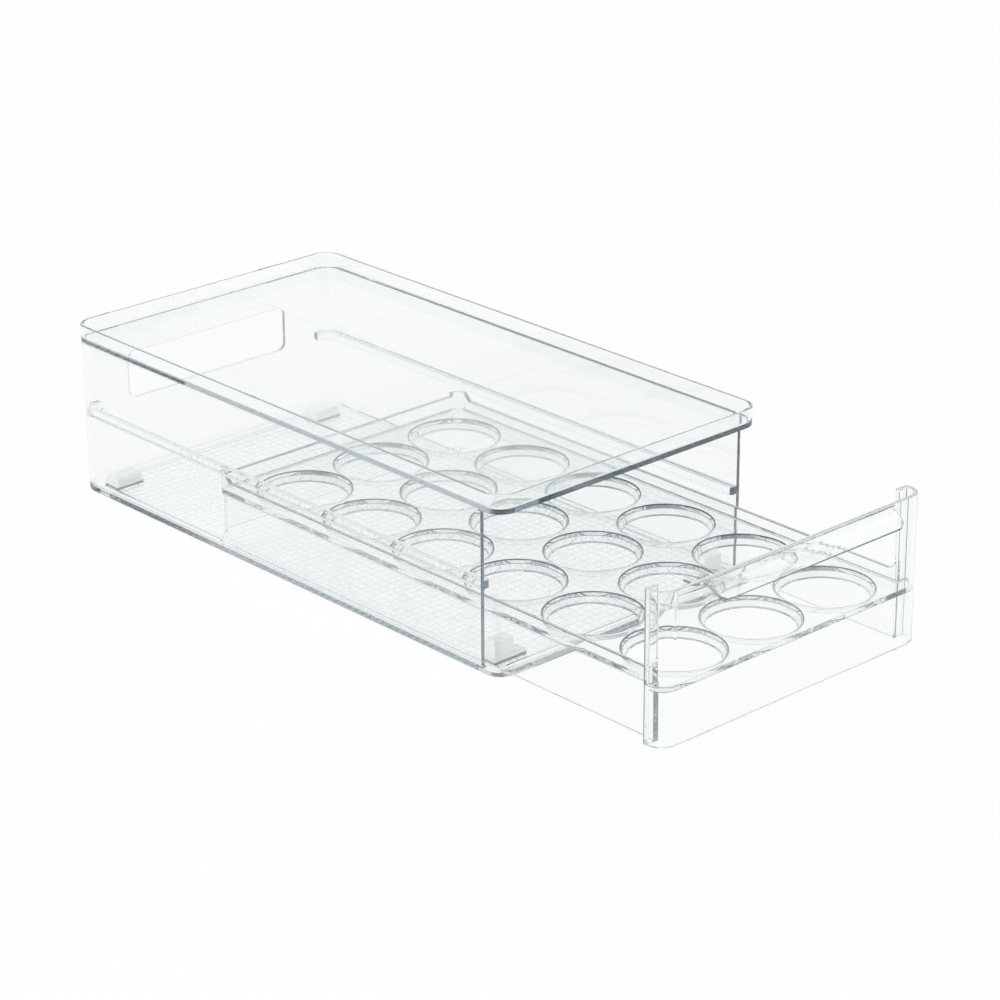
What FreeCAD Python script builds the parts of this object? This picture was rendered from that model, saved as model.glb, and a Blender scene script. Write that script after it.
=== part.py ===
"""Clear fridge bin with a pull-out egg drawer and four silicone feet, in millimetres.

+Z is up, the drawer pulls out towards -Y, and X = 0 is the plane of symmetry. The origin is
under the middle of the whole object as stored, with the drawer part way out, on the surface
that the feet stand on.
"""
import FreeCAD, Part
import math
import os

Vector = FreeCAD.Vector

# Case: overall sizes are taken over the rim band.
CASE_WIDTH = 172.0
CASE_LENGTH = 325.0
CASE_HEIGHT = 92.5
CASE_CORNER = 10.4
CASE_WALL = 2.0
FLOOR_THICKNESS = 2.8
FLOOR_EDGE_RADIUS = 2.0
FLOOR_FILLET = 2.0
LEAD_IN_LENGTH = 4.2
LEAD_IN_DROP = 0.7
FOOT_STAND = 0.4
SIDE_WALL_SETBACK = 13.0

# Top plate, and the rim band that stands round it and holds whatever is stacked on it.
RIM_HEIGHT = 9.65
RIM_WALL = 1.7
RIM_OVERHANG = 0.45
RIM_EDGE_RADIUS = 0.5
TOP_PLATE_THICKNESS = 1.8
TOP_PLATE_FILLET = 1.4

# Carry hole in the back wall.
HOLE_WIDTH = 104.0
HOLE_HEIGHT = 24.0
HOLE_LOW = 42.5
HOLE_CORNER = 4.0

# Guide rails inside the side walls. They keep the drawer from tipping.
RAIL_GAP = 1.0
RAIL_HEIGHT = 4.1
RAIL_DEPTH = 3.9
RAIL_BACK_TURN = 11.0
RAIL_END_RADIUS = 1.9

# Drawer, one moulding. It slides on the case floor, with these gaps to the case round it.
DRAWER_OUT = 105.8
RUNNING_GAP = 0.3
SIDE_GAP = 2.65
REAR_GAP = 3.55
RIM_GAP = 4.15
FASCIA_SETBACK = 0.9
FASCIA_CORNER = 9.0
DRAWER_WALL = 2.2
FLANGE_SETBACK = 12.1
FLANGE_CORNER = 1.0
SKIRT_STEP = 0.6
DRAWER_CORNER = 6.0
DECK_TOP = 32.8
DECK_THICKNESS = 2.4
SIDE_TOP = 38.0
SIDE_TOP_FILLET = 5.0
REAR_TOP = 39.8
NUB_TOP = 41.8
NUB_WIDTH = 6.6
HEEL_STEP = 3.8

# Egg rings in the deck.
RING_COLUMN_GAP = 2.1
RING_ROW_GAP = 4.1
RING_FRONT_GAP = 3.5
RING_TOP_RADIUS = 23.7
RING_LOW_RADIUS = 21.1
RING_DEPTH = 5.3
RING_WALL = 1.5
RING_EDGE_RADIUS = 0.8

# Finger lip, rolled forward from the fascia's top edge.
LIP_REACH = 11.0
LIP_DROP = 7.0
LIP_THICKNESS = 1.9
LIP_HALF_WIDTH = 61.0
LIP_TIP_RADIUS = 6.0
LIP_ROOT_RADIUS = 3.0

# Silicone feet: a pad below the floor, a neck through it, a flange and a block above it.
FLANGE_MARGIN = 1.1
FOOT_FLANGE_THICKNESS = 1.0
NECK_CLEARANCE = 0.05
FOOT_CORNER = 0.8
STOP_TOP = 13.4
STOP_SIDE_GAP = 2.9
STOP_TOP_LENGTH = 12.0
STOP_BASE_LENGTH = 19.0
STOP_WIDTH = 6.2
STOP_WALL_GAP = 1.2
STOP_FLARE_RADIUS = 6.0
STOP_TOE = 0.4
PAD_TOP = 8.2
PAD_SIDE_GAP = 3.4
PAD_TOP_GAP = 1.8
PAD_LENGTH = 15.4
PAD_WIDTH = 8.6
PAD_SETBACK = 10.0

# Two places closer together than this are the same place.
SAME_PLACE = 1e-4

# Places that follow from the sizes above.
TOTAL_LENGTH = CASE_LENGTH + LIP_REACH + DRAWER_OUT - FASCIA_SETBACK
CASE_BACK = TOTAL_LENGTH / 2
CASE_FRONT = CASE_BACK - CASE_LENGTH
HALF_WIDTH = CASE_WIDTH / 2
RIM_LOW = CASE_HEIGHT - RIM_HEIGHT
PLATE_TOP = RIM_LOW + TOP_PLATE_THICKNESS
WALL_INSET = RIM_OVERHANG + CASE_WALL
FLOOR_TOP = FOOT_STAND + FLOOR_THICKNESS
SIDE_WALL_FRONT = CASE_FRONT + SIDE_WALL_SETBACK
DRAWER_LOW = FLOOR_TOP + RUNNING_GAP
FASCIA_FRONT = CASE_FRONT + FASCIA_SETBACK - DRAWER_OUT
FASCIA_BACK = FASCIA_FRONT + DRAWER_WALL
FASCIA_TOP = RIM_LOW - RIM_GAP
FLANGE_BACK = FASCIA_FRONT + FLANGE_SETBACK
DRAWER_BACK = CASE_BACK - WALL_INSET - REAR_GAP - DRAWER_OUT
DRAWER_HALF_WIDTH = HALF_WIDTH - WALL_INSET - SIDE_GAP
SKIRT_INNER = DRAWER_HALF_WIDTH - SKIRT_STEP - DRAWER_WALL
DECK_HALF_WIDTH = DRAWER_HALF_WIDTH - DRAWER_WALL
DECK_LOW = DECK_TOP - DECK_THICKNESS
RING_LOW = DECK_TOP - RING_DEPTH
RAIL_LOW = NUB_TOP + RAIL_GAP
REAR_LOW = PAD_TOP + PAD_TOP_GAP
STOP_OUTER = SKIRT_INNER - STOP_SIDE_GAP
STOP_FRONT = SIDE_WALL_FRONT + STOP_WALL_GAP
PAD_OUTER = SKIRT_INNER - PAD_SIDE_GAP


def line(start, end):
    """Straight edge between two points, or nothing where they are the same point."""
    if start.distanceToPoint(end) < SAME_PLACE:
        return []
    return [Part.LineSegment(start, end).toShape()]


def flat_face(corners):
    """Face in the XY plane whose corners (x, y, radius) are rounded by their radii."""
    points = [Vector(x, y, 0) for x, y, radius in corners]
    starts = []
    middles = []
    ends = []
    for index, corner in enumerate(points):
        radius = corners[index][2]
        back = (points[index - 1] - corner).normalize()
        ahead = (points[(index + 1) % len(points)] - corner).normalize()
        half_angle = back.getAngle(ahead) / 2
        setback = radius / math.tan(half_angle)
        depth = radius / math.sin(half_angle) - radius
        starts.append(corner + back * setback)
        middles.append(corner + (back + ahead).normalize() * depth)
        ends.append(corner + ahead * setback)
    edges = []
    for index, start in enumerate(starts):
        edges += line(ends[index - 1], start)
        if corners[index][2] > 0:
            edges.append(Part.Arc(start, middles[index], ends[index]).toShape())
    return Part.Face(Part.Wire(edges))


def prism(corners, low, high):
    """Upright prism on a rounded outline."""
    solid = flat_face(corners).extrude(Vector(0, 0, high - low))
    solid.translate(Vector(0, 0, low))
    return solid


def rectangle(half_width, front, back, radius=0.0):
    """Corners of a rectangle that is centred on X = 0."""
    return [
        (-half_width, front, radius),
        (half_width, front, radius),
        (half_width, back, radius),
        (-half_width, back, radius),
    ]


def case_outline(inset):
    """The rim's outline, drawn in by an inset on every side."""
    return rectangle(HALF_WIDTH - inset, CASE_FRONT + inset, CASE_BACK - inset, CASE_CORNER - inset)


def box(x_range, y_range, z_range):
    """Plain box between two limits along each axis."""
    size = [high - low for low, high in (x_range, y_range, z_range)]
    return Part.makeBox(*size, Vector(x_range[0], y_range[0], z_range[0]))


def side_profile(corners, x_low, x_high):
    """Prism along X on an outline given as (y, z, radius)."""
    solid = flat_face(corners).extrude(Vector(0, 0, x_high - x_low))
    solid.rotate(Vector(0, 0, 0), Vector(1, 1, 1), 120)
    solid.translate(Vector(x_low, 0, 0))
    return solid


def mirrored(shape):
    """The same shape on the other side of X = 0."""
    return shape.mirror(Vector(0, 0, 0), Vector(1, 0, 0))


def both_sides(shape):
    """The shape together with its mirror image."""
    return shape.fuse(mirrored(shape))


def edges_at_height(shape, height):
    """Edges that lie flat at one height."""
    return [
        edge
        for edge in shape.Edges
        if abs(edge.BoundBox.ZMin - height) < SAME_PLACE
        and abs(edge.BoundBox.ZMax - height) < SAME_PLACE
    ]


def case_body():
    """Floor, side walls and back wall, open at the front, with the carry hole in the back."""
    hollow = prism(case_outline(WALL_INSET), FLOOR_TOP, RIM_LOW)
    hollow = hollow.makeFillet(FLOOR_FILLET, edges_at_height(hollow, FLOOR_TOP))
    body = prism(case_outline(RIM_OVERHANG), FOOT_STAND, RIM_LOW).cut(hollow)
    body = body.makeFillet(FLOOR_EDGE_RADIUS, edges_at_height(body, FOOT_STAND))
    front_gap = box((-HALF_WIDTH, HALF_WIDTH), (CASE_FRONT, SIDE_WALL_FRONT), (FLOOR_TOP, RIM_LOW))
    hole_face = flat_face(rectangle(HOLE_WIDTH / 2, 0, HOLE_HEIGHT, HOLE_CORNER))
    hole = hole_face.extrude(Vector(0, 0, 2 * WALL_INSET))
    hole.rotate(Vector(0, 0, 0), Vector(1, 0, 0), 90)
    hole.translate(Vector(0, CASE_BACK, HOLE_LOW))
    return body.cut(front_gap).cut(hole).cut(lead_in())


def lead_in():
    """Wedge that slopes the floor down to its front edge, so that the drawer slides in."""
    front = CASE_FRONT + RIM_OVERHANG
    corners = [
        (front, FLOOR_TOP, 0.0),
        (front, FLOOR_TOP - LEAD_IN_DROP, 0.0),
        (front + LEAD_IN_LENGTH, FLOOR_TOP, 0.0),
    ]
    return side_profile(corners, -HALF_WIDTH, HALF_WIDTH)


def top_tray():
    """Plate that closes the case's top, with the rim band round it."""
    tray = prism(case_outline(0), RIM_LOW, CASE_HEIGHT)
    recess = prism(case_outline(RIM_WALL), PLATE_TOP, CASE_HEIGHT)
    recess = recess.makeFillet(TOP_PLATE_FILLET, edges_at_height(recess, PLATE_TOP))
    tray = tray.cut(recess)
    return tray.makeFillet(RIM_EDGE_RADIUS, edges_at_height(tray, CASE_HEIGHT))


def guide_rails():
    """Rails along both side walls, turned round the rear corners on to the back wall."""
    inner = WALL_INSET + RAIL_DEPTH
    top = RAIL_LOW + RAIL_HEIGHT
    ring = prism(case_outline(RIM_OVERHANG), RAIL_LOW, top)
    ring = ring.cut(prism(case_outline(inner), RAIL_LOW, top))
    reach = HALF_WIDTH - WALL_INSET - RAIL_BACK_TURN
    between = box((-reach, reach), (CASE_FRONT, CASE_BACK), (RAIL_LOW, top))
    before = box((-HALF_WIDTH, HALF_WIDTH), (CASE_FRONT, SIDE_WALL_FRONT), (RAIL_LOW, top))
    rails = ring.cut(between).cut(before)
    front_tips = [
        edge
        for edge in rails.Edges
        if abs(edge.BoundBox.YMax - SIDE_WALL_FRONT) < SAME_PLACE
        and edge.BoundBox.ZLength > RAIL_HEIGHT - SAME_PLACE
        and abs(abs(edge.CenterOfMass.x) - (HALF_WIDTH - inner)) < SAME_PLACE
    ]
    return rails.makeFillet(RAIL_END_RADIUS, front_tips)


def case_shell(foot_necks):
    """The case as one moulding, with a hole in its floor for each foot's neck."""
    case = case_body().fuse([top_tray(), guide_rails()]).removeSplitter()
    for low, high in foot_necks:
        case = case.cut(box((low.x, high.x), (low.y, high.y), (0, FLOOR_TOP)))
    return case


def fascia():
    """Front sheet with rounded ends that turn back and end in inward flanges."""
    inner = HALF_WIDTH - DRAWER_WALL
    end = DECK_HALF_WIDTH
    flange_front = FLANGE_BACK - DRAWER_WALL
    right_half = [
        (HALF_WIDTH, FASCIA_FRONT, FASCIA_CORNER),
        (HALF_WIDTH, FLANGE_BACK, FLANGE_CORNER),
        (end, FLANGE_BACK, 0.0),
        (end, flange_front, 0.0),
        (inner, flange_front, 0.0),
        (inner, FASCIA_BACK, FASCIA_CORNER - DRAWER_WALL),
    ]
    left_half = [(-x, y, radius) for x, y, radius in reversed(right_half)]
    return prism(right_half + left_half, DRAWER_LOW, FASCIA_TOP)


def drawer_tub(half_width, back, low, high):
    """Side walls and rear wall as one bent sheet, from the flanges to the back."""
    front = FLANGE_BACK - DRAWER_WALL
    inner = half_width - DRAWER_WALL
    outline = [
        (-half_width, front, 0.0),
        (-inner, front, 0.0),
        (-inner, back - DRAWER_WALL, DRAWER_CORNER - DRAWER_WALL),
        (inner, back - DRAWER_WALL, DRAWER_CORNER - DRAWER_WALL),
        (inner, front, 0.0),
        (half_width, front, 0.0),
        (half_width, back, DRAWER_CORNER),
        (-half_width, back, DRAWER_CORNER),
    ]
    return prism(outline, low, high)


def upper_walls():
    """Walls above the deck: a low side wall, a higher rear wall and two corner nubs."""
    walls = drawer_tub(DRAWER_HALF_WIDTH, DRAWER_BACK, DECK_LOW, NUB_TOP)
    corner_front = DRAWER_BACK - DRAWER_CORNER
    fillet_end = FLANGE_BACK + SIDE_TOP_FILLET
    above_sides = [
        (FLANGE_BACK, NUB_TOP + SIDE_TOP_FILLET, 0.0),
        (FLANGE_BACK, SIDE_TOP, SIDE_TOP_FILLET),
        (corner_front - (NUB_TOP - SIDE_TOP), SIDE_TOP, 0.0),
        (corner_front, NUB_TOP, 0.0),
        (corner_front, NUB_TOP + SIDE_TOP_FILLET, 0.0),
    ]
    walls = walls.cut(side_profile(above_sides, -HALF_WIDTH, HALF_WIDTH))
    nub_inner = DRAWER_HALF_WIDTH - NUB_WIDTH
    middle = box((-nub_inner, nub_inner), (fillet_end, DRAWER_BACK), (REAR_TOP, NUB_TOP))
    return walls.cut(middle)


def wall_fillets():
    """Concave webs that lead each side wall's top edge up into the flange in front of it."""
    front = FLANGE_BACK - DRAWER_WALL
    back = FLANGE_BACK + SIDE_TOP_FILLET
    top = SIDE_TOP + SIDE_TOP_FILLET
    web = box((DECK_HALF_WIDTH, DRAWER_HALF_WIDTH), (front, back), (SIDE_TOP, top))
    start = Vector(DECK_HALF_WIDTH, back, top)
    bite = Part.makeCylinder(SIDE_TOP_FILLET, DRAWER_WALL, start, Vector(1, 0, 0))
    return both_sides(web.cut(bite))


def skirt():
    """Walls below the deck. The rear wall ends above the rear pads, and each side wall
    runs down to the floor with a heel that leans back."""
    half_width = DRAWER_HALF_WIDTH - SKIRT_STEP
    back = DRAWER_BACK - SKIRT_STEP
    walls = drawer_tub(half_width, back, DRAWER_LOW, DECK_LOW)
    below_rear = [
        (back - DRAWER_CORNER, DRAWER_LOW - DRAWER_WALL, 0.0),
        (back + DRAWER_WALL, DRAWER_LOW - DRAWER_WALL, 0.0),
        (back + DRAWER_WALL, REAR_LOW, 0.0),
        (back - DRAWER_CORNER, REAR_LOW, 0.0),
    ]
    walls = walls.cut(side_profile(below_rear, -HALF_WIDTH, HALF_WIDTH))
    heel = [
        (back - DRAWER_CORNER, DRAWER_LOW, 0.0),
        (DRAWER_BACK, DRAWER_LOW, 0.0),
        (DRAWER_BACK - HEEL_STEP, REAR_LOW, 0.0),
        (back - DRAWER_CORNER, REAR_LOW, 0.0),
    ]
    heels = both_sides(side_profile(heel, SKIRT_INNER, half_width))
    return walls.fuse(heels)


def ring_places():
    """Centre of every egg ring, front row first: as many as the deck has room for."""
    across = 2 * RING_TOP_RADIUS + RING_COLUMN_GAP
    along = 2 * RING_TOP_RADIUS + RING_ROW_GAP
    deck_length = DRAWER_BACK - DRAWER_WALL - FASCIA_BACK
    columns = int((2 * DECK_HALF_WIDTH - RING_COLUMN_GAP) / across)
    rows = int((deck_length - RING_FRONT_GAP) / along)
    first_row = FASCIA_BACK + RING_FRONT_GAP + RING_TOP_RADIUS
    return [
        ((column - (columns - 1) / 2) * across, first_row + row * along)
        for row in range(rows)
        for column in range(columns)
    ]


def deck():
    """Deck plate with a tapered ring hanging from it for each egg."""
    flange_front = FLANGE_BACK - DRAWER_WALL
    body = prism(
        rectangle(DECK_HALF_WIDTH, FASCIA_BACK, DRAWER_BACK - DRAWER_WALL),
        DECK_LOW,
        DECK_TOP,
    )
    front = prism(rectangle(HALF_WIDTH - DRAWER_WALL, FASCIA_BACK, flange_front), DECK_LOW, DECK_TOP)
    bound = drawer_bounds()
    plate = body.fuse(front).common(bound)
    slope = (RING_TOP_RADIUS - RING_LOW_RADIUS) / RING_DEPTH
    deck_low_radius = RING_TOP_RADIUS - slope * DECK_THICKNESS
    low_radius = RING_LOW_RADIUS + RING_WALL
    bore = ring_bore()
    for x, y in ring_places():
        base = Vector(x, y, RING_LOW)
        wall = Part.makeCone(low_radius, deck_low_radius + RING_WALL, DECK_LOW - RING_LOW, base)
        plate = plate.fuse(wall).cut(bore.translated(Vector(x, y, 0)))
    return plate


def ring_bore():
    """The tapered hole of one egg ring, with the rounding of the deck round its mouth."""
    above = DECK_TOP + RING_EDGE_RADIUS
    mouth = RING_TOP_RADIUS + 2 * RING_EDGE_RADIUS
    profile = [
        (0, RING_LOW, 0.0),
        (RING_LOW_RADIUS, RING_LOW, 0.0),
        (RING_TOP_RADIUS, DECK_TOP, RING_EDGE_RADIUS),
        (mouth, DECK_TOP, 0.0),
        (mouth, above, 0.0),
        (0, above, 0.0),
    ]
    bore = flat_face(profile).revolve(Vector(0, 0, 0), Vector(0, 1, 0), 360)
    bore.rotate(Vector(0, 0, 0), Vector(1, 0, 0), 90)
    return bore


def drawer_bounds():
    """Everything inside the drawer's outer surface, at deck level."""
    front = prism(
        [
            (-HALF_WIDTH, FASCIA_FRONT, FASCIA_CORNER),
            (HALF_WIDTH, FASCIA_FRONT, FASCIA_CORNER),
            (HALF_WIDTH, FLANGE_BACK, 0.0),
            (-HALF_WIDTH, FLANGE_BACK, 0.0),
        ],
        DECK_LOW,
        DECK_TOP,
    )
    body = prism(
        [
            (-DRAWER_HALF_WIDTH, FLANGE_BACK - DRAWER_WALL, 0.0),
            (DRAWER_HALF_WIDTH, FLANGE_BACK - DRAWER_WALL, 0.0),
            (DRAWER_HALF_WIDTH, DRAWER_BACK, DRAWER_CORNER),
            (-DRAWER_HALF_WIDTH, DRAWER_BACK, DRAWER_CORNER),
        ],
        DECK_LOW,
        DECK_TOP,
    )
    return front.fuse(body)


def finger_lip():
    """Curved sheet that leaves the fascia's top edge level and rolls forward and down."""
    run = LIP_REACH + DRAWER_WALL
    half_turn = math.atan2(LIP_DROP, run)
    radius = run / math.sin(2 * half_turn)
    centre = Vector(0, FASCIA_BACK, FASCIA_TOP - radius)
    width = 2 * (LIP_HALF_WIDTH + LIP_ROOT_RADIUS)
    start = Vector(-width / 2, centre.y, centre.z)
    turn = math.degrees(2 * half_turn)
    outer = Part.makeCylinder(radius, width, start, Vector(1, 0, 0))
    inner = Part.makeCylinder(radius - LIP_THICKNESS, width, start, Vector(1, 0, 0))
    wedge = lip_wedge(centre, 2 * radius, width, turn)
    outline = lip_outline(half_turn, run)
    return outer.cut(inner).common(wedge).common(outline)


def lip_wedge(centre, reach, width, turn):
    """Wedge between straight up and the lip's turn forward, about the lip's centre."""
    tip = math.radians(turn)
    far = reach / math.cos(tip / 2)
    corners = [
        (centre.y, centre.z, 0.0),
        (centre.y, centre.z + reach, 0.0),
        (centre.y - far * math.sin(tip / 2), centre.z + far * math.cos(tip / 2), 0.0),
        (centre.y - reach * math.sin(tip), centre.z + reach * math.cos(tip), 0.0),
    ]
    return side_profile(corners, -width / 2, width / 2)


def lip_outline(half_turn, run):
    """Block with the lip's outline, seen square to the line from its root to its edge."""
    chord = run / math.cos(half_turn)
    root_half = LIP_HALF_WIDTH + LIP_ROOT_RADIUS
    root_depth = DRAWER_WALL / math.cos(half_turn)
    right_half = [
        (LIP_HALF_WIDTH, -chord, LIP_TIP_RADIUS),
        (LIP_HALF_WIDTH, -root_depth, LIP_ROOT_RADIUS),
        (root_half, -root_depth, 0.0),
        (root_half, LIP_THICKNESS, 0.0),
    ]
    left_half = [(-x, y, radius) for x, y, radius in reversed(right_half)]
    block = prism(right_half + left_half, -2 * chord, 2 * chord)
    block.rotate(Vector(0, 0, 0), Vector(1, 0, 0), math.degrees(half_turn))
    block.translate(Vector(0, FASCIA_BACK, FASCIA_TOP))
    return block


def drawer():
    """The drawer as one moulding."""
    pieces = [upper_walls(), wall_fillets(), skirt(), deck(), finger_lip()]
    return fascia().fuse(pieces).removeSplitter()


def foot(x_range, y_range, block):
    """Foot with its pad, neck and flange round a given block. Returns it and its neck's
    hole in the floor."""
    low = Vector(x_range[0], y_range[0], 0)
    high = Vector(x_range[1], y_range[1], 0)
    wide = FLANGE_MARGIN
    plate = [
        (low.x - wide, low.y - wide, FOOT_CORNER),
        (high.x + wide, low.y - wide, FOOT_CORNER),
        (high.x + wide, high.y + wide, FOOT_CORNER),
        (low.x - wide, high.y + wide, FOOT_CORNER),
    ]
    pad = prism(plate, 0, FOOT_STAND)
    flange = prism(plate, FLOOR_TOP, FLOOR_TOP + FOOT_FLANGE_THICKNESS)
    gap = NECK_CLEARANCE
    neck = box((low.x + gap, high.x - gap), (low.y + gap, high.y - gap), (FOOT_STAND, FLOOR_TOP))
    return pad.fuse([flange, neck, block]).removeSplitter(), (low, high)


def stop_foot():
    """Right front foot. Its tall block stops the drawer's rear wall, and flares inwards."""
    base_inner = STOP_OUTER - STOP_BASE_LENGTH
    top_inner = STOP_OUTER - STOP_TOP_LENGTH
    back = STOP_FRONT + STOP_WIDTH
    low = FLOOR_TOP + FOOT_FLANGE_THICKNESS
    corners = [
        (base_inner, low, 0.0),
        (STOP_OUTER, low, 0.0),
        (STOP_OUTER, STOP_TOP, FOOT_CORNER),
        (top_inner, STOP_TOP, FOOT_CORNER),
        (top_inner, low + STOP_TOE, STOP_FLARE_RADIUS),
        (base_inner, low + STOP_TOE, 0.0),
    ]
    block = flat_face(corners).extrude(Vector(0, 0, STOP_WIDTH))
    block.rotate(Vector(0, 0, 0), Vector(1, 0, 0), 90)
    block.translate(Vector(0, back, 0))
    return foot((base_inner, STOP_OUTER), (STOP_FRONT, back), block)


def pad_foot():
    """Right rear foot, low enough for the drawer's rear wall to pass over."""
    inner = PAD_OUTER - PAD_LENGTH
    back = CASE_BACK - PAD_SETBACK
    front = back - PAD_WIDTH
    block = box((inner, PAD_OUTER), (front, back), (FLOOR_TOP, PAD_TOP))
    block = block.makeFillet(FOOT_CORNER, edges_at_height(block, PAD_TOP))
    return foot((inner, PAD_OUTER), (front, back), block)


def mirrored_neck(neck):
    """A neck's hole on the other side of X = 0."""
    low, high = neck
    return Vector(-high.x, low.y, low.z), Vector(-low.x, high.y, high.z)


def main():
    """Build every piece and write it as parts/NODE.step."""
    stop, stop_neck = stop_foot()
    pad, pad_neck = pad_foot()
    necks = [stop_neck, mirrored_neck(stop_neck), pad_neck, mirrored_neck(pad_neck)]
    nodes = {
        "case_shell": case_shell(necks),
        "drawer": drawer(),
        "front_right_stop_foot": stop,
        "front_left_stop_foot": mirrored(stop),
        "rear_right_foot": pad,
        "rear_left_foot": mirrored(pad),
    }
    os.makedirs("parts", exist_ok=True)
    for name, shape in nodes.items():
        shape.exportStep(f"parts/{name}.step")
        limits = shape.optimalBoundingBox()
        print(
            f"{name}: {len(shape.Solids)} solid, valid {shape.isValid()}, {shape.Volume:.0f} mm3,"
            f" X {limits.XMin:.2f}..{limits.XMax:.2f} Y {limits.YMin:.2f}..{limits.YMax:.2f}"
            f" Z {limits.ZMin:.2f}..{limits.ZMax:.2f}"
        )


main()
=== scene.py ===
"""Looks, light and camera for a clear fridge bin with a pull-out egg drawer."""
import math

import bmesh
import bpy
from mathutils import Euler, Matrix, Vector


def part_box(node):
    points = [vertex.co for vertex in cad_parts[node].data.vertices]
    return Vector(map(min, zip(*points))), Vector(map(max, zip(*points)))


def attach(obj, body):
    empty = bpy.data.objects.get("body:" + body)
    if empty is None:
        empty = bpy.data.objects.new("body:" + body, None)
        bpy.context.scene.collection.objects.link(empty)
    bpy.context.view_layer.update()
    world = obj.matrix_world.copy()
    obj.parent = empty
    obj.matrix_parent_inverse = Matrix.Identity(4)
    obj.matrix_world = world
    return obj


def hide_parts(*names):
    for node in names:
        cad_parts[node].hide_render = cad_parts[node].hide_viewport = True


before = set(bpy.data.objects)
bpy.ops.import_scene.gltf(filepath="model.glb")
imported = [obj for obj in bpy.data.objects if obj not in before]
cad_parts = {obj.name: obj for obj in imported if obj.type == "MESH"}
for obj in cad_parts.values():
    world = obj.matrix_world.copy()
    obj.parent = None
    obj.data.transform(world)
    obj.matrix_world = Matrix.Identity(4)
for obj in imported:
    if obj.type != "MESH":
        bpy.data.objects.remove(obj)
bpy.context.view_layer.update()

MM = 0.001

# Camera, fitted to the edges of the case and the drawer.
CAMERA_AZIMUTH = -42.496
CAMERA_ELEVATION = 22.667
CAMERA_ROLL = -0.308
CAMERA_TARGET = Vector((-1.63, -13.19, 40.0)) * MM
CAMERA_DISTANCE = 1668.1 * MM
CAMERA_LENS = 122.52
CAMERA_SENSOR = 36.0
CAMERA_CLIP_END = 20.0

# Facets that meet at less than FLAT_ANGLE are one flat face. Edges that bend by more than
# SHARP_ANGLE get a round, and those that still bend by more than CREASE_ANGLE shade as crisp.
SAME_POINT = 0.001 * MM
FLAT_ANGLE = math.radians(0.5)
SHARP_ANGLE = math.radians(32)
CREASE_ANGLE = math.radians(50)

# The rounds.
EDGE_RADIUS = 0.25 * MM
FOOT_EDGE_RADIUS = 0.3 * MM
ROUND_SEGMENTS = 2

# A round reaches ROOM radii along the faces. An end of an edge has room for it where every
# other edge there is longer than that reach. Otherwise CUT reaches are cut off that end, and
# the edge has to be LENGTH_FOR_CUT reaches longer for each end that is cut.
ROOM = 2.2
CUT = 2.0
LENGTH_FOR_CUT = 3

# Edges at these heights keep their sharp form: under the case's top plate and at the top of
# the drawer's lip, rounds would fold over each other.
NO_LEVELS = (0.0, 0.0)
CASE_CRISP_LEVELS = (82.0 * MM, 83.6 * MM)
DRAWER_CRISP_LEVELS = (73.5 * MM, 80.0 * MM)

# Slim faces of rounds up to this radius get painted shade at these heights: a dark tint that
# stands in for the dark lines along the edges.
SMALL_ROUND = 1.3 * MM
DRAWER_PAINTED_SHADE_LEVELS = (24.0 * MM, 80.0 * MM)

# Squares moulded in the case floor: shallow grooves inside a border with rounded corners.
CASE_FLOOR_TOP = 3.2 * MM
GRID_PITCH = 5.0 * MM
GRID_SIDE_MARGIN = 7.5 * MM
GRID_FRONT_MARGIN = 7.5 * MM
GRID_CORNER = 6.0 * MM
GRID_CORNER_CUTS = 4
GROOVE_WIDTH = 0.6 * MM
GROOVE_DEPTH = 0.09 * MM
LEVEL = 0.02 * MM
UPWARD = 0.5

# Clear plastic: a cast in its depth, slow flow waves from moulding, patches from handling.
PLASTIC_IOR = 1.57
PLASTIC_TINTS = ((0.978, 0.993, 0.987, 1.0), (0.984, 0.996, 0.990, 1.0))
# Painted shade: the next colour is put on the slim faces of small rounds as dark edge lines.
PAINTED_EDGE_SHADE_COLOUR = (0.06, 0.085, 0.10, 1.0)
ABSORPTION_COLOUR = (0.10, 0.24, 0.31, 1.0)
ABSORPTION_DENSITY = 4.0
PLASTIC_ROUGHNESS = (0.008, 0.03)
FLOW_SIZE = 60.0 * MM
FLOW_HEIGHT = 0.012 * MM
HANDLING_SIZE = 9.0 * MM

# Silicone: clouds between two tones, and a fine grain. Scales are per metre.
SILICONE_TONES = ((0.87, 0.885, 0.88, 1.0), (0.90, 0.91, 0.91, 1.0))
SILICONE_ROUGHNESS = 0.5
SILICONE_SUBSURFACE = 0.3
SILICONE_DEPTH = 1.5 * MM
CLOUD_SCALE = 120.0
GRAIN_SCALE = 1800.0
GRAIN_STRENGTH = 0.25
GRAIN_HEIGHT = 0.08 * MM

FEET = ("front_left_stop_foot", "front_right_stop_foot", "rear_left_foot", "rear_right_foot")

# The studio: a white table and a bright backdrop behind the object, dark walls round the
# rest of the room, and a white ceiling. WHITE_LEVELS are pairs of a height on a sphere of
# radius 1 and a share of white. The edges are cosines of the angle to a direction.
BACKDROP_DIRECTION = (0.676, 0.737, 0.0)
BACKDROP_EDGES = (0.3, 0.6)
BACKDROP_COLOUR = (0.90, 0.92, 0.93, 1.0)
WALL_COLOUR = (0.09, 0.125, 0.15, 1.0)
WHITE_LEVELS = ((-0.02, 1.0), (0.24, 0.0), (0.72, 0.0), (0.90, 1.0))
WHITE = (1.0, 1.0, 1.0, 1.0)

# What lights the matte surfaces: a dome that is darker on one side.
DOME_DIRECTION = (-0.5, 0.866, 0.0)
DOME_EDGES = (-1.0, 0.6)
DOME_COLOURS = ((0.48, 0.48, 0.48, 1.0), WHITE)

# The floor, and the share of it that glows white where it is seen.
FLOOR_REACH = 6.0
FLOOR_COLOUR = (0.9, 0.9, 0.9, 1.0)
FLOOR_GLOW_SHARE = 0.92

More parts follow.
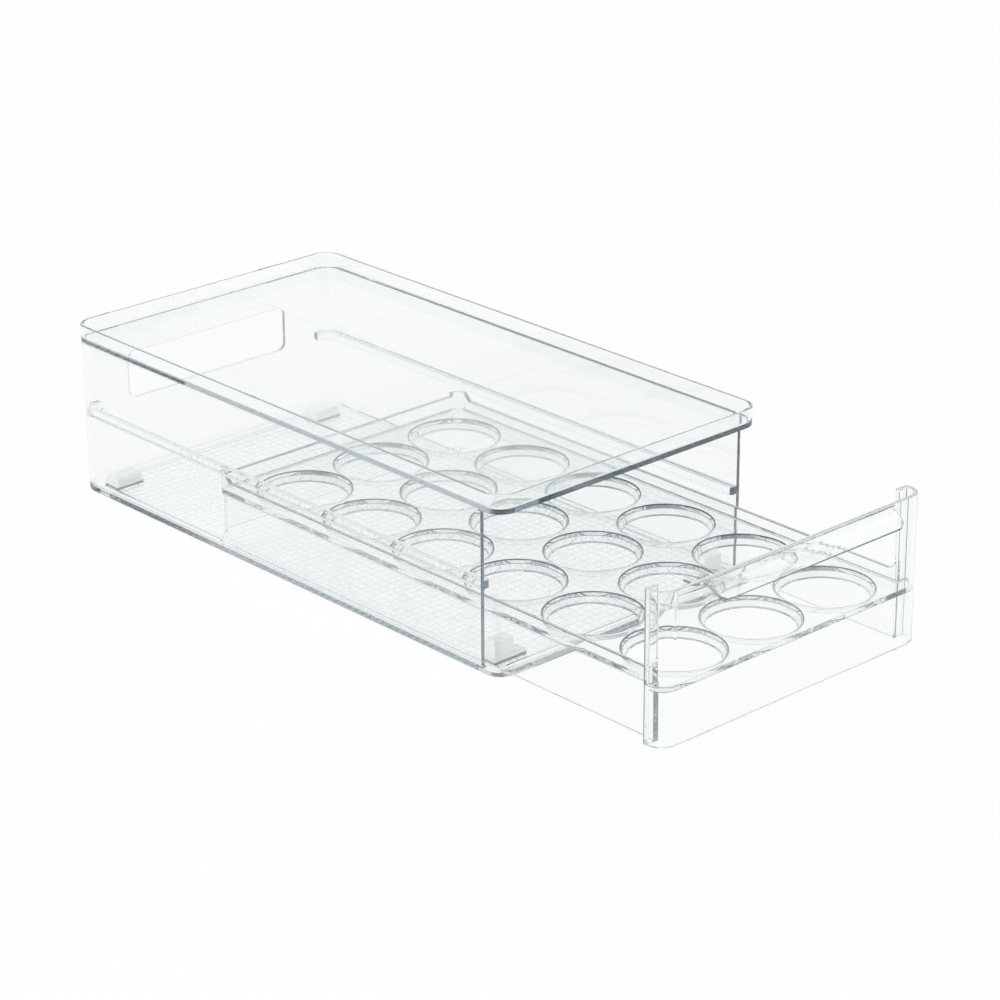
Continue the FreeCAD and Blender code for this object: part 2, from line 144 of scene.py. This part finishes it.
# Name, watts, size in metres and place of each lamp. All aim at the origin.
LAMPS = (
    ("key", 3.8, 0.8, (-0.7, -0.2, 1.2)),
    ("fill", 1.5, 1.0, (0.9, -0.6, 0.9)),
)

# Light runs along inside a wall for this many bounces, from end to end.
BOUNCES = 256


def link(obj):
    """Put an object in the scene."""
    bpy.context.scene.collection.objects.link(obj)
    return obj


def with_edges(faces):
    """Faces together with their edges and corners."""
    parts = set(faces)
    for face in faces:
        parts.update(face.edges)
        parts.update(face.verts)
    return list(parts)


def cut(shape, faces, point, normal):
    """Cut faces along a plane. Returns the parts behind it and the parts ahead of it."""
    made = bmesh.ops.bisect_plane(
        shape,
        geom=with_edges(faces),
        dist=SAME_POINT,
        plane_co=point,
        plane_no=normal,
    )
    parts = [part for part in made["geom"] if isinstance(part, bmesh.types.BMFace)]
    ahead = [face for face in parts if (face.calc_center_median() - point).dot(normal) > 0]
    behind = [face for face in parts if (face.calc_center_median() - point).dot(normal) <= 0]
    return behind, ahead


def border_planes(low, high):
    """Planes round a rectangle with rounded corners, as (point, outward normal)."""
    planes = []
    for quarter in range(4):
        for step in range(GRID_CORNER_CUTS + 1):
            angle = (quarter + step / (GRID_CORNER_CUTS + 1)) * math.pi / 2
            normal = Vector((math.cos(angle), math.sin(angle), 0))
            x = high.x - GRID_CORNER if normal.x > 0 else low.x + GRID_CORNER
            y = high.y - GRID_CORNER if normal.y > 0 else low.y + GRID_CORNER
            planes.append((Vector((x, y, 0)) + normal * GRID_CORNER, normal))
    return planes


def groove_places(low, high):
    """Places of the grooves' middles between two limits."""
    count = int((high - low) / GRID_PITCH)
    first = (low + high) / 2 - (count - 1) / 2 * GRID_PITCH
    return [first + index * GRID_PITCH for index in range(count)]


def groove_floor(shape):
    """Press a grid of shallow grooves and a border round it into the case's floor."""
    low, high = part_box("case_shell")
    low = Vector((low[0] + GRID_SIDE_MARGIN, low[1] + GRID_FRONT_MARGIN, 0))
    high = Vector((high[0] - GRID_SIDE_MARGIN, high[1] - GRID_SIDE_MARGIN, 0))
    border = border_planes(low, high)
    half = GROOVE_WIDTH / 2
    field = [
        face
        for face in shape.faces
        if face.normal.z > UPWARD
        and all(abs(vert.co.z - CASE_FLOOR_TOP) < LEVEL for vert in face.verts)
    ]
    for shift in (half, 0.0, -half):
        for point, normal in border:
            field, outside = cut(shape, field, point + normal * shift, normal)
    places = (groove_places(low.x, high.x), groove_places(low.y, high.y))
    for axis, normal in enumerate((Vector((1, 0, 0)), Vector((0, 1, 0)))):
        done = []
        for place in places[axis]:
            for shift in (-half, 0.0, half):
                behind, field = cut(shape, field, normal * (place + shift), normal)
                done += behind
        field += done
    for vert in shape.verts:
        if abs(vert.co.z - CASE_FLOOR_TOP) > LEVEL:
            continue
        reach = max((vert.co - point).dot(normal) for point, normal in border)
        lines = [abs(vert.co[axis] - place) < LEVEL for axis in (0, 1) for place in places[axis]]
        if abs(reach) < LEVEL or (reach < LEVEL - half and any(lines)):
            vert.co.z -= GROOVE_DEPTH
            for edge in vert.link_edges:
                edge.smooth = False


def small_rounds(shape):
    """Faces beside edges that bend gently, with at most SMALL_ROUND as the bend's radius."""
    found = set()
    for edge in shape.edges:
        if len(edge.link_faces) != 2:
            continue
        angle = edge.calc_face_angle(0.0)
        if not FLAT_ANGLE < angle < SHARP_ANGLE:
            continue
        first, second = edge.link_faces
        step = second.calc_center_median() - first.calc_center_median()
        along = (edge.verts[1].co - edge.verts[0].co).normalized()
        if step.cross(along).length < SMALL_ROUND * angle:
            found.update(edge.link_faces)
    return found


def is_tight(vert, edge, reach):
    """Whether an edge's end has no room for a round of this reach."""
    return any(other.calc_length() < reach for other in vert.link_edges if other != edge)


def roomy(shape, reach, crisp_levels):
    """Sharp edges with room for a round, cut short where an end has none.

    Edges with both ends between the two crisp levels are left out.
    """
    found = []
    low, high = crisp_levels
    sharp = [edge for edge in shape.edges if edge.calc_face_angle(0.0) > SHARP_ANGLE]
    for edge in sharp:
        crisp = [vert for vert in edge.verts if low < vert.co.z < high]
        tight = [vert for vert in edge.verts if vert in crisp or is_tight(vert, edge, reach)]
        least = reach * (1 + LENGTH_FOR_CUT * len(tight))
        if len(crisp) == 2 or edge.calc_length() < least:
            continue
        for vert in tight:
            bmesh.utils.edge_split(edge, vert, CUT * reach / edge.calc_length())
        if not any(vert in edge.verts for vert in tight):
            found.append(edge)
    return found


def round_edges(shape, radius, painted_shade_levels, crisp_levels):
    """Round the sharp edges with room for it, shade those that stay sharp as crisp, and mark the
    slim faces of small rounds between two levels for painted shade: a dark tint in the material
    that stands in for the dark lines along the edges."""
    # Painted shade: a mask of the slim round faces that the material tints dark.
    painted_shade_mask = shape.faces.layers.float.new("painted_edge_shade")
    made = bmesh.ops.bevel(
        shape,
        geom=roomy(shape, ROOM * radius, crisp_levels),
        offset=radius,
        offset_type="OFFSET",
        segments=ROUND_SEGMENTS,
        profile=0.5,
        affect="EDGES",
        clamp_overlap=False,
        loop_slide=True,
    )
    for edge in shape.edges:
        if edge.calc_face_angle(0.0) > CREASE_ANGLE:
            edge.smooth = False
    low, high = painted_shade_levels
    for face in small_rounds(shape) | set(made["faces"]):
        longest = max(edge.calc_length() for edge in face.edges)
        slim = face.calc_area() < SMALL_ROUND / 2 * longest
        if slim and low < face.calc_center_median().z < high:
            face[painted_shade_mask] = 1.0


def rounded_copy(node, name, radius, detail=None, painted_shade_heights=NO_LEVELS, crisp=NO_LEVELS):
    """A node's surface with its flat facets merged and its sharp edges rounded, and with any
    detail that is pressed into it first."""
    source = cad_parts[node]
    mesh = source.data.copy()
    mesh.name = name
    mesh.materials.clear()
    shape = bmesh.new()
    shape.from_mesh(mesh)
    bmesh.ops.remove_doubles(shape, verts=shape.verts, dist=SAME_POINT)
    bmesh.ops.dissolve_limit(
        shape,
        angle_limit=FLAT_ANGLE,
        use_dissolve_boundaries=False,
        verts=shape.verts,
        edges=shape.edges,
    )
    if detail:
        detail(shape)
    round_edges(shape, radius, painted_shade_heights, crisp)
    for face in shape.faces:
        face.smooth = True
    shape.to_mesh(mesh)
    shape.free()
    obj = link(bpy.data.objects.new(name, mesh))
    flats = obj.modifiers.new("flat_faces_stay_flat", "WEIGHTED_NORMAL")
    flats.keep_sharp = True
    return obj


class Nodes:
    """Short calls that build one material's or the world's node tree."""

    def __init__(self, owner):
        owner.use_nodes = True
        self.tree = owner.node_tree

    def add(self, kind, **inputs):
        """A node with some of its inputs set to values or fed by other outputs."""
        made = self.tree.nodes.new("ShaderNode" + kind)
        for name, value in inputs.items():
            self.feed(made.inputs[name.replace("_", " ")], value)
        return made

    def feed(self, socket, value):
        """Set a socket, or link an output to it."""
        if isinstance(value, bpy.types.NodeSocket):
            self.tree.links.new(value, socket)
        else:
            socket.default_value = value

    def maths(self, operation, first, second):
        """The result of one sum on two values."""
        made = self.tree.nodes.new("ShaderNodeMath")
        made.operation = operation
        self.feed(made.inputs[0], first)
        self.feed(made.inputs[1], second)
        return made.outputs[0]

    def towards(self, direction, aim, low, high):
        """0 to 1 as a direction turns to an aim, between two cosines of the angle."""
        made = self.tree.nodes.new("ShaderNodeVectorMath")
        made.operation = "DOT_PRODUCT"
        self.feed(made.inputs[0], direction)
        self.feed(made.inputs[1], aim)
        cosine = made.outputs["Value"]
        return self.add("MapRange", Value=cosine, From_Min=low, From_Max=high).outputs[0]

    def blend(self, share, first, second):
        """A colour between two colours."""
        made = self.tree.nodes.new("ShaderNodeMix")
        made.data_type = "RGBA"
        for index, value in ((0, share), (6, first), (7, second)):
            self.feed(made.inputs[index], value)
        return made.outputs[2]


def clear_plastic(name):
    """Polished clear plastic: slow flow waves from moulding, faint patches from handling, a
    slight green cast in its depth, and painted shade on small rounds: a dark tint on their slim
    faces."""
    material = bpy.data.materials.new(name)
    nodes = Nodes(material)
    shader = nodes.tree.nodes["Principled BSDF"]
    output = nodes.tree.nodes["Material Output"]
    place = nodes.add("TexCoord").outputs["Object"]
    flow = nodes.add("TexNoise", Vector=place, Scale=1 / FLOW_SIZE, Detail=1.0, Distortion=0.6)
    waves = nodes.add("Bump", Distance=FLOW_HEIGHT, Height=flow.outputs["Fac"])
    patches = nodes.add("TexNoise", Vector=place, Scale=1 / HANDLING_SIZE, Detail=4.0)
    low, high = PLASTIC_ROUGHNESS
    polish = nodes.add("MapRange", Value=patches.outputs["Fac"], To_Min=low, To_Max=high)
    tint = nodes.blend(flow.outputs["Fac"], *PLASTIC_TINTS)
    # Painted shade: the masked slim faces of small rounds are tinted dark.
    painted_shade_mask = nodes.add("Attribute")
    painted_shade_mask.attribute_name = "painted_edge_shade"
    tint = nodes.blend(painted_shade_mask.outputs["Fac"], tint, PAINTED_EDGE_SHADE_COLOUR)
    nodes.feed(shader.inputs["Base Color"], tint)
    nodes.feed(shader.inputs["Roughness"], polish.outputs[0])
    nodes.feed(shader.inputs["Normal"], waves.outputs["Normal"])
    shader.inputs["IOR"].default_value = PLASTIC_IOR
    shader.inputs["Transmission Weight"].default_value = 1.0
    depth = nodes.add("VolumeAbsorption", Color=ABSORPTION_COLOUR, Density=ABSORPTION_DENSITY)
    nodes.feed(output.inputs["Volume"], depth.outputs["Volume"])
    return material


def silicone(name):
    """Soft matte silicone that lets a little light through, with a fine moulded grain."""
    material = bpy.data.materials.new(name)
    nodes = Nodes(material)
    shader = nodes.tree.nodes["Principled BSDF"]
    place = nodes.add("TexCoord").outputs["Object"]
    grain = nodes.add("TexNoise", Vector=place, Scale=GRAIN_SCALE, Detail=3.0)
    cloud = nodes.add("TexNoise", Vector=place, Scale=CLOUD_SCALE, Detail=2.0)
    tone = nodes.blend(cloud.outputs["Fac"], *SILICONE_TONES)
    bump = nodes.add("Bump", Distance=GRAIN_HEIGHT, Height=grain.outputs["Fac"])
    bump.inputs["Strength"].default_value = GRAIN_STRENGTH
    nodes.feed(shader.inputs["Base Color"], tone)
    nodes.feed(shader.inputs["Normal"], bump.outputs["Normal"])
    shader.inputs["Roughness"].default_value = SILICONE_ROUGHNESS
    shader.inputs["Subsurface Weight"].default_value = SILICONE_SUBSURFACE
    shader.inputs["Subsurface Radius"].default_value = (1.0, 1.0, 1.0)
    shader.inputs["Subsurface Scale"].default_value = SILICONE_DEPTH
    return material


def make_case():
    """The case's moulding, with the grid in its floor."""
    case = rounded_copy(
        "case_shell", "case_moulding", EDGE_RADIUS, groove_floor, crisp=CASE_CRISP_LEVELS
    )
    case.data.materials.append(clear_plastic("case_clear_plastic"))
    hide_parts("case_shell")
    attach(case, "case")


def make_drawer():
    """The drawer's moulding."""
    drawer = rounded_copy(
        "drawer",
        "drawer_moulding",
        EDGE_RADIUS,
        # The drawer's slim small rounds get painted shade at these heights.
        painted_shade_heights=DRAWER_PAINTED_SHADE_LEVELS,
        crisp=DRAWER_CRISP_LEVELS,
    )
    drawer.data.materials.append(clear_plastic("drawer_clear_plastic"))
    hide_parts("drawer")
    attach(drawer, "drawer")


def make_feet():
    """The four silicone blocks."""
    material = silicone("silicone")
    for corner in FEET:
        foot = rounded_copy(corner, corner + "_silicone", FOOT_EDGE_RADIUS)
        foot.data.materials.append(material)
        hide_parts(corner)
        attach(foot, "case")


def make_floor():
    """Pale floor that shows as plain white to the eye and through the plastic."""
    mesh = bpy.data.meshes.new("floor")
    size = FLOOR_REACH
    corners = [(-size, -size, 0), (size, -size, 0), (size, size, 0), (-size, size, 0)]
    mesh.from_pydata(corners, [], [(0, 1, 2, 3)])
    floor = link(bpy.data.objects.new("floor", mesh))
    material = bpy.data.materials.new("floor_white")
    nodes = Nodes(material)
    shader = nodes.tree.nodes["Principled BSDF"]
    output = nodes.tree.nodes["Material Output"]
    shader.inputs["Base Color"].default_value = FLOOR_COLOUR
    shader.inputs["Roughness"].default_value = 1.0
    glow = nodes.add("Emission", Color=WHITE, Strength=1.0)
    path = nodes.add("LightPath").outputs
    seen = nodes.maths("MAXIMUM", path["Is Camera Ray"], path["Is Glossy Ray"])
    seen = nodes.maths("MAXIMUM", seen, path["Is Transmission Ray"])
    share = nodes.maths("MULTIPLY", seen, FLOOR_GLOW_SHARE)
    mix = nodes.add("MixShader")
    for index, value in enumerate((share, shader.outputs[0], glow.outputs[0])):
        nodes.feed(mix.inputs[index], value)
    nodes.feed(output.inputs["Surface"], mix.outputs[0])
    mesh.materials.append(material)


def make_world():
    """White background to the eye and in reflections, a plain dome for matte surfaces, and
    the studio for what shines through the plastic."""
    world = bpy.data.worlds.new("studio")
    bpy.context.scene.world = world
    nodes = Nodes(world)
    background = nodes.tree.nodes["Background"]
    direction = nodes.add("TexCoord").outputs["Generated"]
    rise = nodes.add("SeparateXYZ", Vector=direction).outputs["Z"]
    height = nodes.add("MapRange", Value=rise, From_Min=-1.0).outputs[0]
    levels = nodes.add("ValToRGB", Fac=height)
    while len(levels.color_ramp.elements) < len(WHITE_LEVELS):
        levels.color_ramp.elements.new(1.0)
    for element, (level, share) in zip(levels.color_ramp.elements, WHITE_LEVELS):
        element.position = (level + 1) / 2
        element.color = (share, share, share, 1.0)
    backdrop = nodes.towards(direction, BACKDROP_DIRECTION, *BACKDROP_EDGES)
    walls = nodes.blend(backdrop, WALL_COLOUR, BACKDROP_COLOUR)
    room = nodes.blend(levels.outputs["Color"], walls, WHITE)
    dome = nodes.blend(nodes.towards(direction, DOME_DIRECTION, *DOME_EDGES), *DOME_COLOURS)
    path = nodes.add("LightPath").outputs
    mirrored = nodes.maths("SUBTRACT", path["Is Glossy Ray"], path["Is Transmission Ray"])
    white = nodes.maths("MAXIMUM", path["Is Camera Ray"], mirrored)
    scattered = nodes.maths("GREATER_THAN", path["Diffuse Depth"], 0.5)
    colour = nodes.blend(white, room, WHITE)
    colour = nodes.blend(scattered, colour, dome)
    nodes.feed(background.inputs["Color"], colour)


def make_lamps():
    """Two large soft lamps."""
    for name, energy, size, place in LAMPS:
        data = bpy.data.lights.new(name, "AREA")
        data.energy = energy
        data.size = size
        lamp = link(bpy.data.objects.new(name, data))
        lamp.location = place
        lamp.rotation_euler = (-Vector(place)).to_track_quat("-Z", "Y").to_euler()


def turned(x, z):
    """A turn by degrees about x, then about z."""
    return Euler((math.radians(x), 0, math.radians(z)), "XYZ").to_matrix()


def make_camera():
    """Camera at its azimuth, elevation and roll about the target."""
    data = bpy.data.cameras.new("camera")
    data.lens = CAMERA_LENS
    data.sensor_width = CAMERA_SENSOR
    data.clip_end = CAMERA_CLIP_END
    camera = link(bpy.data.objects.new("camera", data))
    turn = turned(90 - CAMERA_ELEVATION, CAMERA_AZIMUTH)
    camera.rotation_euler = (turn @ turned(0, CAMERA_ROLL)).to_euler()
    back = turn @ Vector((0, 0, 1))
    camera.location = CAMERA_TARGET + back * CAMERA_DISTANCE
    bpy.context.scene.camera = camera


def set_view():
    """Plain colours, enough bounces for many layers of clear plastic, and no blurring of what
    it lets through."""
    scene = bpy.context.scene
    scene.view_settings.view_transform = "Standard"
    scene.cycles.blur_glossy = 0.0
    scene.cycles.max_bounces = BOUNCES
    scene.cycles.transmission_bounces = BOUNCES
    scene.cycles.glossy_bounces = BOUNCES


make_case()
make_drawer()
make_feet()
make_floor()
make_world()
make_lamps()
make_camera()
set_view()
